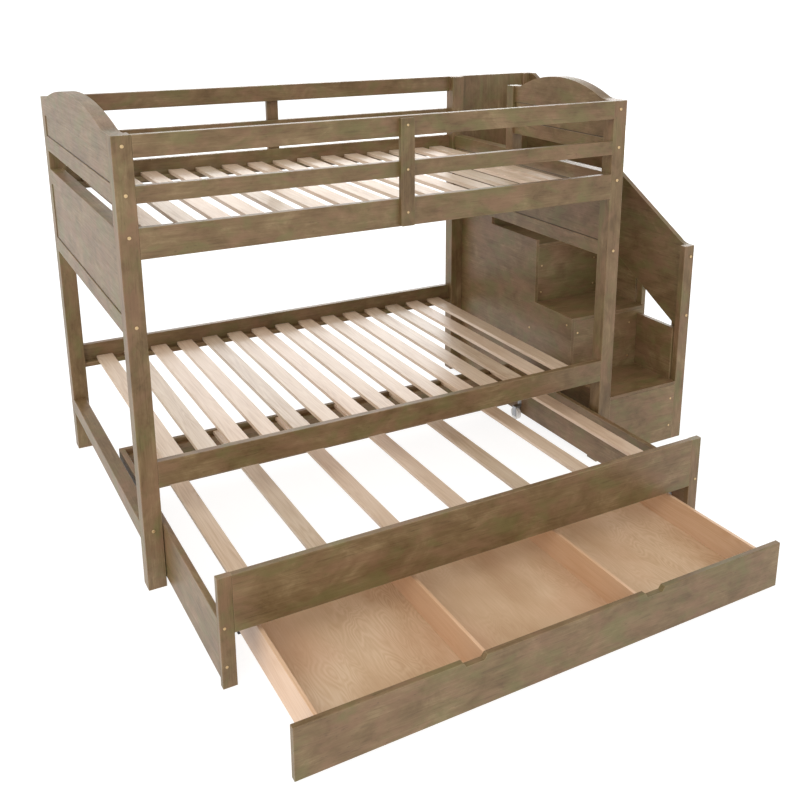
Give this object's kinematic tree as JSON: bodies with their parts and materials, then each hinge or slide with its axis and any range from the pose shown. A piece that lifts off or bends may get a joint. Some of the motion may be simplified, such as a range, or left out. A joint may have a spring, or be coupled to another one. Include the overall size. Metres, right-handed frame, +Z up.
{
  "type": "bunk bed with storage stairs",
  "caption": "Bunk bed with arched ends, guard rails and slatted decks, storage stairs at one end, and a roll-out trundle with a wide divided drawer beneath it.",
  "frame": {"origin": "centre of the footprint on the floor, with the trundle and its drawer pulled out as they rest", "axes": "+X along the bed from the plain end to the stairs, +Y from the front, where the trundle comes out, to the back, +Z up"},
  "size_m": [2.441, 2.341, 1.6239],
  "materials": {
    "stained_wood": "brushed stain, satin",
    "slat_wood": "raw planed softwood",
    "drawer_wood": "raw planed softwood",
    "drawer_plywood": "raw plywood",
    "fastener_brass": "plated",
    "bracket_steel": "zinc plated",
    "wheel_plastic": "moulded",
    "glide_plastic": "moulded"
  },
  "bodies": {
    "bunk_frame": {"bed_bolts": "fastener_brass", "entry_post": "stained_wood", "front_guard_batten": "stained_wood", "front_left_post": "stained_wood", "front_mid_guard_rail": "stained_wood", "front_right_post": "stained_wood", "front_top_guard_rail": "stained_wood", "left_arch_board": "stained_wood", "left_lower_bottom_rail": "stained_wood", "left_lower_panel": "stained_wood", "left_lower_top_rail": "stained_wood", "left_stretcher": "stained_wood", "left_upper_panel": "stained_wood", "left_upper_rail": "stained_wood", "lower_front_rail": "stained_wood", "lower_rear_rail": "stained_wood", "lower_slats": "slat_wood", "rear_guard_batten": "stained_wood", "rear_guard_rails": "stained_wood", "rear_left_post": "stained_wood", "rear_right_post": "stained_wood", "right_arch_board": "stained_wood", "right_lower_bottom_rail": "stained_wood", "right_lower_panel": "stained_wood", "right_sill_rail": "stained_wood", "right_upper_panel": "stained_wood", "right_upper_rail": "stained_wood", "slat_ledgers": "stained_wood", "stair_back_panel": "stained_wood", "stair_front_post": "stained_wood", "stair_infill_panels": "stained_wood", "stair_inner_side": "stained_wood", "stair_landing": "stained_wood", "stair_outer_guard": "stained_wood", "stair_risers": "stained_wood", "stair_screws": "fastener_brass", "stair_shelves": "stained_wood", "stair_stiles": "stained_wood", "stair_treads": "stained_wood", "step_side_board": "stained_wood", "upper_front_rail": "stained_wood", "upper_rear_rail": "stained_wood", "upper_slats": "slat_wood"},
    "trundle": {"trundle_stiles": "stained_wood", "trundle_front_rail": "stained_wood", "trundle_sides": "stained_wood", "trundle_rear_rail": "stained_wood", "trundle_ledgers": "stained_wood", "trundle_slats": "slat_wood", "trundle_screws": "fastener_brass", "castor_brackets": "bracket_steel"},
    "drawer": {"drawer_front": "stained_wood", "drawer_sides": "drawer_wood", "drawer_dividers": "drawer_wood", "drawer_back": "drawer_wood", "drawer_bottoms": "drawer_plywood", "drawer_glides": "glide_plastic"},
    "front_wheels": {"front_castor_wheels": "wheel_plastic"},
    "rear_wheels": {"rear_castor_wheels": "wheel_plastic"}
  },
  "joints": [
    {"name": "trundle_slide", "type": "slide", "parent": "bunk_frame", "child": "trundle", "axis": [0, -1, 0], "range_m": [-0.599, 0.45]},
    {"name": "drawer_slide", "type": "slide", "parent": "trundle", "child": "drawer", "axis": [0, -1, 0], "range_m": [-0.4337, 0.25]},
    {"name": "front_wheel_roll", "type": "hinge", "parent": "trundle", "child": "front_wheels", "pos_m": [-1.1105, -0.61685, 0.03], "axis": [1, 0, 0], "range_deg": [-1150, 865]},
    {"name": "rear_wheel_roll", "type": "hinge", "parent": "trundle", "child": "rear_wheels", "pos_m": [-1.1105, 0.39715, 0.03], "axis": [1, 0, 0], "range_deg": [-1150, 865]}
  ],
  "couplings": [
    {"joint": "front_wheel_roll", "follows": "trundle_slide", "rad_per_m": 33.333},
    {"joint": "rear_wheel_roll", "follows": "trundle_slide", "rad_per_m": 33.333}
  ]
}
